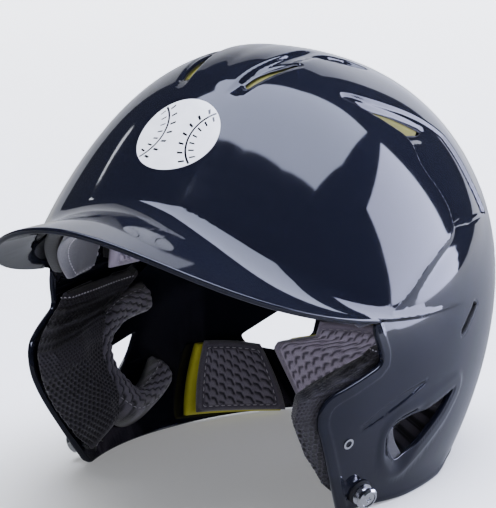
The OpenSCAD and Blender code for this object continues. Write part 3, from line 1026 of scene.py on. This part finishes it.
def frame_of(spot, nu, nv, corner, upright=False):
    """An even grid over an area, and its lengths in mm."""
    a, b = np.meshgrid(np.linspace(-1, 1, nu), np.linspace(-1, 1, nv))
    azel = drawn_in(spot, a, b, corner)
    p = inner(azel[..., 0], azel[..., 1], 8.0, upright)
    return a, b, azel, gaps(p[nv // 2]).sum(), gaps(p[:, nu // 2]).sum()


def crowded(low, n, reach):
    """n places from low to 1 that lie closer together near 1."""
    return np.sin(np.linspace(low, 1, n) * np.pi / 2 * reach) / math.sin(np.pi / 2 * reach)


def round_edge(a, b, lu, lv, r):
    """0 at the pad's edge to 1 at r mm in, as a quarter circle, and the mm to the edge."""
    m = (1 - np.abs(a)) * lu / 2, (1 - np.abs(b)) * lv / 2
    k = [1 - np.clip(q / r, 0, 1) for q in m]
    g = np.clip(np.hypot(*k), 0, 1)
    return np.sqrt(1 - g * g), np.minimum(*m)


def two_sided(nv, nu):
    """Faces of a closed form whose points are a grid and, after it, its other side."""
    n = nu * nv
    idx = np.arange(n).reshape(nv, nu)
    ring = np.r_[idx[0], idx[1:, -1], idx[-1, -2::-1], idx[-2:0:-1, 0]]
    q = np.stack([idx[:-1, :-1], idx[:-1, 1:], idx[1:, 1:], idx[1:, :-1]], -1).reshape(-1, 4)
    return ([tuple(f[::-1]) for f in q] + [tuple(f + n) for f in q]
            + [(i, j, j + n, i + n) for i, j in zip(ring, np.roll(ring, -1))])


def slab_mesh(azel, low, high, upright=False):
    """A closed form between two depths over a grid; returns points, faces and how many
    of the points belong to the inner face."""
    nv, nu = azel.shape[:2]
    sides = [inner(azel[..., 0], azel[..., 1], depth, upright).reshape(-1, 3)
             for depth in (high, low + 0 * high)]
    return np.vstack(sides), two_sided(nv, nu), nu * nv


def swelled(spot, corner, low, thick, crown, upright, cap=3.0):
    """Blows the pad up as cloth round its stuffing: returns how far each point of a coarse
    grid moved, in mm of depth. The face against the shell is held."""
    nu, nv = 19, 15
    a, b, azel, lu, lv = frame_of(spot, nu, nv, corner, upright)
    edge, _ = round_edge(a, b, lu, lv, 9.0)
    high = low + 1.0 + (thick * BEFORE_CLOTH - 1.0) * edge * crown(a, b)
    p, faces, n = slab_mesh(azel, low, high, upright)
    ob = make_mesh("swell", p, faces)
    held = ob.vertex_groups.new(name="held")
    ring = [i for i in range(n) if i % nu in (0, nu - 1) or i // nu in (0, nv - 1)]
    held.add(list(range(n, 2 * n)) + ring, 1.0, "REPLACE")
    c = ob.modifiers.new("cloth", "CLOTH")
    for key, value in dict(quality=6, mass=0.25, tension_stiffness=22, compression_stiffness=22,
                           shear_stiffness=8, bending_stiffness=0.4, use_pressure=True,
                           uniform_pressure_force=4.0, vertex_group_mass="held").items():
        setattr(c.settings, key, value)
    c.settings.effector_weights.gravity = 0
    c.collision_settings.use_self_collision = False
    for k in range(CLOTH_FRAMES):
        scene.frame_set(k + 1)
    got = ob.evaluated_get(bpy.context.evaluated_depsgraph_get()).to_mesh()
    q = np.array([v.co for v in got.vertices])[:n] * 1000
    moved = ((q - p[:n]) * unit(CENTRE - p[:n])).sum(1).reshape(nv, nu)
    scene.frame_set(1)
    bpy.data.objects.remove(ob)
    return np.clip(np.nan_to_num(moved), -cap, cap)


def upsample(grid, a, b):
    """Values of a coarse grid at the places a, b, both from -1 to 1."""
    nv, nu = grid.shape[:2]
    x, y = (a + 1) / 2 * (nu - 1), (b + 1) / 2 * (nv - 1)
    i, j = np.clip(x.astype(int), 0, nu - 2), np.clip(y.astype(int), 0, nv - 2)
    fx, fy = x - i, y - j
    if grid.ndim == 3:
        fx, fy = fx[..., None], fy[..., None]
    return ((grid[j, i] * (1 - fx) + grid[j, i + 1] * fx) * (1 - fy)
            + (grid[j + 1, i] * (1 - fx) + grid[j + 1, i + 1] * fx) * fy)


def thread(name, line, normals, length=2.4, gap=1.3, r=0.26):
    """A row of stitches that lie along a line, as one mesh."""
    s = run(line)
    lift = np.array([-0.1, 0.22, 0.3, 0.22, -0.1])[:, None]
    rad = np.array([0.35, 0.9, 1.0, 0.9, 0.35])[:, None] * r
    verts, faces = [], []
    for start in np.arange(0.5, s[-1] - length, length + gap):
        t = np.linspace(start, start + length, 5)
        p, n = sample(t, s, line), unit(sample(t, s, normals))
        d = unit(p[-1:] - p[:1])
        w = np.cross(n, d)
        base = len(verts)
        for j in range(6):
            c, q = math.cos(j * math.pi / 3), math.sin(j * math.pi / 3)
            verts += list(p + n * (lift + rad * c) + w * rad * q)
        for j in range(6):
            for i in range(4):
                a0, a1 = base + j * 5 + i, base + ((j + 1) % 6) * 5 + i
                faces.append((a0, a0 + 1, a1 + 1, a1))
        first = tuple(base + j * 5 for j in range(6))
        faces += [first, tuple(k + 4 for k in first[::-1])]
    return make_mesh(name, verts, faces, THREAD)


def mirrored(ob, name):
    """A copy for the other side, made before the object is given to a body."""
    other = ob.copy()
    other.data = ob.data.copy()
    other.name = other.data.name = name
    co = np.zeros(len(other.data.vertices) * 3, np.float32)
    other.data.vertices.foreach_get("co", co)
    co = co.reshape(-1, 3) * [-1, 1, 1]
    other.data.vertices.foreach_set("co", co.ravel())
    other.data.flip_normals()
    scene.collection.objects.link(other)
    return other


def base_pad(name, spot, corner=0.08, step=2.2, crown=0.1, upright=False, mat=EVA):
    _, _, _, lu, lv = frame_of(spot, 21, 21, corner, upright)
    nu, nv = int(lu / step) + 2, int(lv / step) + 2
    a, b = np.meshgrid(crowded(-1, nu, 0.9), crowded(-1, nv, 0.9))
    edge, _ = round_edge(a, b, lu, lv, 2.2)
    bowed = 1 - crown * (1 - np.sqrt(np.clip(np.cos(a * np.pi / 2) * np.cos(b * np.pi / 2), 0, 1)))
    high = BASE_OUT + BASE_T * bowed * (0.72 + 0.28 * edge)
    low = BASE_OUT + 1.4 * (1 - edge)
    p, faces, _ = slab_mesh(drawn_in(spot, a, b, corner), low, high, upright)
    return make_mesh(name, p, faces, mat)


def fabric_pad(name, spot, mat, corner=0.07, step=0.85, emboss=0.75, seam=3.0, upright=False):
    """A crowned pad with an embossed face, and its stitches as a second piece. The stitches
    run seam mm inside its edge."""
    def crown(a, b):
        across, along_it = (np.clip(np.cos(k * np.pi / 2), 0, 1) for k in (a, b))
        return 1 - 0.35 * (1 - np.sqrt(across * along_it))

    _, _, _, lu, lv = frame_of(spot, 21, 21, corner, upright)
    nu, nv = int(lu / step) + 2, int(lv / step) + 2
    a, b, azel, lu, lv = frame_of(spot, nu, nv, corner, upright)
    edge, e = round_edge(a, b, lu, lv, 6.0)
    high = PAD_OUT + 1.4 + (PAD_T * BEFORE_CLOTH - 1.4) * edge * crown(a, b)
    high = high + upsample(swelled(spot, corner, PAD_OUT, PAD_T, crown, upright), a, b)
    within = smooth((e - seam - 0.3) / 1.0)
    s, t = a * lu / 2, b * lv / 2
    raised = strokes(s, t) if emboss else np.ones_like(s)
    high = high - 0.7 * np.exp(-((e - seam) / 0.6) ** 2) + (raised - 0.6) * emboss * within
    # painted shade: the tone darkens in the emboss gaps and along the sunk seam line; the plain
    # band outside the stitches takes a mid tone
    tone = mix(0.5, raised, within) * (1 - 0.5 * np.exp(-((e - seam) / 0.5) ** 2))
    p, faces, n = slab_mesh(azel, PAD_OUT, high, upright)
    ob = make_mesh(name, p, faces, mat, raised=tone)
    ka, kb = 1 - 2 * seam / lu, 1 - 2 * seam / lv
    loop = rounded([[-ka, -kb], [ka, -kb], [ka, kb], [-ka, kb]], 0.08)
    loop = resample(np.vstack([loop, loop[:1]]), 0.01)
    line = upsample(p[:n].reshape(nv, nu, 3), loop[:, 0], loop[:, 1])
    place = upsample(azel, loop[:, 0], loop[:, 1]).T
    towards = unit(inner(*place, 20.0, upright) - inner(*place, 0.0, upright))
    return ob, thread(name + "_seam", line, towards)


def declare(ob, body, node):
    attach(ob, body)
    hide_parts(node)


def fit_pad(name, base_spot, pad_spot, mat, both=False, upright=False, firm_mat=EVA, **how):
    """Firm base, cushion and stitches of one pad, or of a pair."""
    left = "_left" * both
    base = base_pad(name + "_eva" + left, base_spot, upright=upright, mat=firm_mat)
    pad, seam = fabric_pad(name + "_cushion" + left, pad_spot, mat, upright=upright, **how)
    sets = [(left, base, pad, seam)]
    if both:
        sets.append(("_right", mirrored(base, name + "_eva_right"),
                     mirrored(pad, name + "_cushion_right"), mirrored(seam, name + "_seam_right")))
    for side_name, firm, soft, row in sets:
        declare(firm, "helmet", name + "_base" + side_name)
        declare(soft, "helmet", name + "_pad" + side_name)
        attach(row, "helmet")


BASE_SIDE = quad_area([[116, -43.8], [152, -40.6], [143.5, -26.5], [125, -25.5]])
fit_pad("forehead", inset(forehead_area, 0.1), inset(forehead_area, 0.02), PLAIN_KNIT,
        emboss=0.0, step=1.2, firm_mat=FOAM)
fit_pad("upper_rear", inset(UPPER_REAR, 0.06), inset(UPPER_REAR, 0.02), EMBOSSED, step=1.0)
fit_pad("rear", inset(rear_area, 0.04), inset(rear_area, 0.02), PALE_KNIT, upright=True)
fit_pad("rear_side", BASE_SIDE, REAR_SIDE_PAD, EMBOSSED, both=True, upright=True, step=0.7)
fit_pad("temple", inset(TEMPLE, 0.1), inset(TEMPLE, 0.02), PALE_KNIT, both=True, firm_mat=FOAM)


def cap_mesh(name, el, low, thick, edge_r, look, emboss=False):
    """A round cap over the crown between two depths, with a rounded rim."""
    nr, na = 40, 120
    rr, aa = np.meshgrid(crowded(0, nr + 1, 0.94)[1:], np.arange(na) * 360 / na)
    wide = (90 - el) * 2.0
    e = (1 - rr) * wide
    k = 1 - np.clip(e / edge_r, 0, 1)
    high = low + thick * (0.3 + 0.7 * np.sqrt(1 - k * k))
    tone = np.ones_like(rr)
    if emboss:
        # painted shade: the gaps between the embossed strokes get a low tone, which the material
        # darkens
        tone = strokes(rr * wide * np.cos(np.radians(aa)), rr * wide * np.sin(np.radians(aa)))
        high = high + (tone - 0.5) * 0.7 * smooth((e - 4) / 2)
    elv = 90 - (90 - el) * rr
    top, bot = (skin(aa, elv, t).reshape(-1, 3) for t in (high, np.full_like(elv, low)))
    n = len(top)
    verts = np.vstack([top, bot, skin(0, 90, low + thick)[None], skin(0, 90, low)[None]])
    idx = np.arange(n).reshape(na, nr)
    faces = []
    for a, b in zip(idx, np.roll(idx, -1, axis=0)):
        for k in range(nr - 1):
            quad = a[k], a[k + 1], b[k + 1], b[k]
            faces += [quad, (n + b[k], n + b[k + 1], n + a[k + 1], n + a[k])]
        faces += [(2 * n, a[0], b[0]), (2 * n + 1, n + b[0], n + a[0]),
                  (a[-1], n + a[-1], n + b[-1], b[-1])]
    return make_mesh(name, verts, [f[::-1] for f in faces], look, raised=tone)


# the crown base takes the darkened copy of the yellow foam, as painted shade
crown_eva = cap_mesh("crown_eva", 46, BASE_OUT, BASE_T, 3, EVA_SHADED)
declare(crown_eva, "helmet", "crown_base")
crown_cushion = cap_mesh("crown_cushion", 58, PAD_OUT, PAD_T, 8, EMBOSSED, emboss=True)
declare(crown_cushion, "helmet", "crown_pad")


def ear_roll():
    """The left ear's roll of embossed fabric, and its two rows of stitches. The route's
    columns are azimuth, elevation and width."""
    route = np.array([[107, -12, 8], [98, -12.5, 8], [88, -13.5, 8], [79, -15.5, 8],
                      [72, -18.5, 8], [69.5, -23, 8], [69.5, -29, 8], [73, -34.5, 7],
                      [79, -39, 6], [87, -42, 5], [96, -41, 6], [104, -38, 7], [110, -33, 8.0]])
    route[:, 0] += 3.0 * (route[:, 0] < 80)
    route = eased(route)
    far = run(skin(route[:, 0], route[:, 1], 12))
    ns, nw = int(far[-1] / 0.6), 41
    st, w = np.linspace(0, far[-1], ns), np.linspace(-1, 1, nw)
    route = sample(st, far, route)
    step_d = unit(np.gradient(route[:, :2], axis=0))
    side = np.stack([-step_d[:, 1], step_d[:, 0]], -1)
    S, W = np.meshgrid(st, w, indexing="ij")
    azel = route[:, None, :2] + side[:, None] * (route[:, None, 2:] * 0.56) * w[None, :, None]
    ends = smooth(np.minimum(S, far[-1] - S) / 9) ** 0.6
    fat = (1 - np.abs(W) ** 3.2) ** 0.5
    marks = strokes(S + 0.8 * np.sin(W * 3 + S * 0.11), W * 9.5, 4.6, 5.4)
    creases = np.sin(S * 0.9 + 2.2 * np.sin(W * 2.1 + S * 0.07)) * np.sin(W * 2.6 + 0.6)
    in_seam = np.exp(-((np.abs(W) - 0.86) / 0.04) ** 2)
    high = BASE_OUT + EAR_T * (0.5 + 0.42 * fat) * (0.35 + 0.65 * ends)
    high += ((marks - 0.6) * 0.8 + 0.35 * creases) * smooth((0.86 - np.abs(W)) / 0.12)
    high -= 0.8 * in_seam
    p, faces, n = slab_mesh(azel, BASE_OUT, high)
    # painted shade: the tone darkens in the gaps between the strokes and along the sunk seams
    ob = make_mesh("ear_roll_left", p, faces, EAR_KNIT, raised=marks * (1 - 0.5 * in_seam))
    if ob.data.polygons[0].normal @ Vector(((CENTRE - p[0]) / 1000).tolist()) < 0:
        ob.data.flip_normals()
    rows = p[:n].reshape(ns, nw, 3)
    away = unit(CENTRE - rows[:, 0])
    return ob, [thread("ear_seam_%d_left" % i, rows[4:-4, k], away[4:-4], r=0.22)
                for i, k in enumerate((3, nw - 4))]


ear_left, ear_seams = ear_roll()
for row in ear_seams + [mirrored(r, r.name.replace("left", "right")) for r in ear_seams]:
    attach(row, "helmet")
ear_right = mirrored(ear_left, "ear_roll_right")
declare(ear_left, "helmet", "ear_pad_left")
declare(ear_right, "helmet", "ear_pad_right")

# jaw pads: a foam core under perforated spacer mesh that wraps round its sides
JAW_TALL, COVER_BACK = 84, -0.5


def jaw_core():
    _, _, _, lu, lv = frame_of(jaw_area, 21, 41, 0.02)
    nu, nv = int(lu / 2.5) + 2, int(lv / 2.5) + 2
    a, b, azel, lu, lv = frame_of(inset(jaw_area, 0.07), nu, nv, 0.02)
    high = JAW_OUT + JAW_T * jaw_bulge((a + 1) / 2, (b + 1) / 2) * 0.96
    p, faces, _ = slab_mesh(azel, JAW_OUT, high)
    return make_mesh("jaw_core_left", p, faces, FOAM)


def jaw_mesh():
    nu, nv, across, deep = 190, 150, 26, 6
    wall = np.linspace(0, 1, deep + 1)
    lines = []
    for v in np.linspace(0, 1, nv):
        def row(u, depth):
            return np.column_stack([jaw_area(u, np.full(len(u), v)), np.full(len(u), depth)])

        u = np.linspace(0, 1, across)
        end = min(v, 1 - v) * JAW_TALL
        close = 0.25 + 0.75 * math.sqrt(1 - max(0.0, 1 - end / 4.5) ** 2)
        top = 3.4 + JAW_T * jaw_bulge(u, np.full(across, v))
        # the cover turns in under the foam on both sides
        q = eased(np.vstack([row(np.linspace(0.45, 0, deep + 1)[:-1], COVER_BACK),
                             row(np.zeros(deep), mix(COVER_BACK, top[0], wall[:-1])),
                             row(u, top),
                             row(np.ones(deep), mix(top[-1], COVER_BACK, wall[:-1] + 1 / deep)),
                             row(np.linspace(1, 0.75, deep + 1)[1:], COVER_BACK)]), 3)
        pts = skin(q[:, 0], q[:, 1], JAW_OUT + q[:, 2] * close)
        far = run(pts)
        at = np.linspace(0, far[-1], nu)
        lines.append(np.column_stack([sample(at, far, pts), at]))
    grid = np.array(lines)
    pts, s = grid[..., :3], grid[..., 3] - grid[:, nu // 2, 3][:, None]
    t = run(pts[:, nu // 2])[:, None] + 0 * s
    n = unit(np.cross(np.gradient(pts, axis=1), np.gradient(pts, axis=0)))
    if (n[nv // 2, nu // 2] @ (CENTRE - pts[nv // 2, nu // 2])) < 0:
        n = -n
    v = np.linspace(0, 1, nv)[:, None] + 0 * s
    fine = smooth((v - 0.55) / 0.12)
    rim = smooth((np.minimum(v, 1 - v) * JAW_TALL - 1.5) / 1.0)
    pit = mix(pits(s, t, 2.9, 1.15), pits(s, t, 2.0, 0.62), fine) * rim
    sides = [(pts - n * sunk).reshape(-1, 3) for sunk in ((0.9 * pit)[..., None], 2.0)]
    # painted shade: the mesh's holes get a low raised value and take the darker colour
    ob = make_mesh("jaw_mesh_left", np.vstack(sides), two_sided(nv, nu), SPACER, raised=1 - pit)
    near_top = nv - 5, slice(28, -46)
    seam = thread("jaw_seam_left", pts[near_top], n[near_top], length=1.2, gap=1.0, r=0.3)
    return ob, seam


jaw_parts = (jaw_core(), *jaw_mesh())
for side_name, (core, cover, seam) in (
        ("left", jaw_parts),
        ("right", [mirrored(o, o.name.replace("left", "right")) for o in jaw_parts])):
    body = "jaw_pad_" + side_name
    declare(core, body, "jaw_foam_" + side_name)
    declare(cover, body, "jaw_cover_" + side_name)
    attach(seam, body)


# ---------------------------------------------------------------- emblem
def emblem():
    """A plain ball, inlaid on the front: a disc with two stitched seams left open."""
    front, across, seam_at = Patch(0, 54), 21.5, 27.5
    seam_sides, stitch_ends = (19.6, 20.7), ((15.9, 18.8), (21.5, 24.4))
    t = np.linspace(0, 2 * np.pi, 121)[:-1]
    loops = [across * np.stack([np.cos(t), np.sin(t)], -1)]
    for side in (-1, 1):
        def seam(r, phi):
            """Points at r from the middle of this side's seam."""
            return np.stack([side * (seam_at - r * np.cos(phi)), r * np.sin(phi)], -1)

        phi = np.linspace(-0.86, 0.86, 40)
        loops.append(np.vstack([seam(seam_sides[0], phi), seam(seam_sides[1], phi)[::-1]]))
        for k in np.linspace(-0.72, 0.72, 7):
            for r0, r1 in stitch_ends:
                loops.append(seam(np.array([r0, r1, r1, r0]),
                                  k + np.array([-0.035, 0.005, 0.06, 0.02])))
    even = np.arange(-21, 21.1, 1.4)
    inner_pts = np.stack(np.meshgrid(even, even), -1).reshape(-1, 2)
    keep = np.hypot(*inner_pts.T) < 20.6
    for l in loops[1:]:
        keep &= to_line(inner_pts, l, closed=True)[0] > 0.5
    v, f, _ = sheet_triangles(loops, inner_pts[keep])
    p, n = with_normals(outer_point, front.direction(v), 0.005)
    low = p - n * 0.25
    p = p + n * 0.16
    m = len(p)
    top = facing(p, f, n[f[:, 0]])
    edges = {e: True for q in top for e in zip(q, q[1:] + q[:1])}
    sides = [(b, a, a + m, b + m) for a, b in edges if (b, a) not in edges]
    white = material("emblem_white", (0.8, 0.81, 0.85), 0.16)
    nd = Nodes(white)
    cloud = nd.noise(120.0, 3.0)
    nd.link(nd.ramp(cloud, [(0.3, (0.74, 0.75, 0.8)), (0.7, (0.82, 0.83, 0.87))]), "Base Color")
    nd.bump(cloud, 0.05, 0.0001)
    ob = make_mesh("front_emblem", np.vstack([p, low]),
                   top + [tuple(i + m for i in q[::-1]) for q in top] + sides, white,
                   normals=np.vstack([n, -n]))
    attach(ob, "helmet")


emblem()


# ---------------------------------------------------------------- hardware
def chrome():
    m = material("chrome", (0.82, 0.82, 0.84), 0.12, Metallic=1.0)
    n = Nodes(m)
    scratch = n.noise(700.0, 2.0)
    n.link(n.spread(scratch, 0.08, 0.22), "Roughness")
    n.link(n.ramp(scratch, [(0.3, (0.74, 0.74, 0.76)), (0.7, (0.86, 0.86, 0.88))]), "Base Color")
    n.bump(scratch, 0.15, 0.0001)
    return m


def dress(node, mat):
    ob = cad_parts[node]
    ob.data.materials.clear()
    ob.data.materials.append(mat)


CHROME = chrome()
RUBBER = knit("rubber", (0.006, 0.006, 0.007), (0.014, 0.014, 0.016), scale=2500.0, sheen=0.0)
for node in ("guard_inserts", "snap_studs", "snap_screws", "snap_tnuts"):
    dress(node, CHROME)
for node in ("snap_washers", "hook_discs", "loop_discs_left", "loop_discs_right"):
    dress(node, RUBBER)
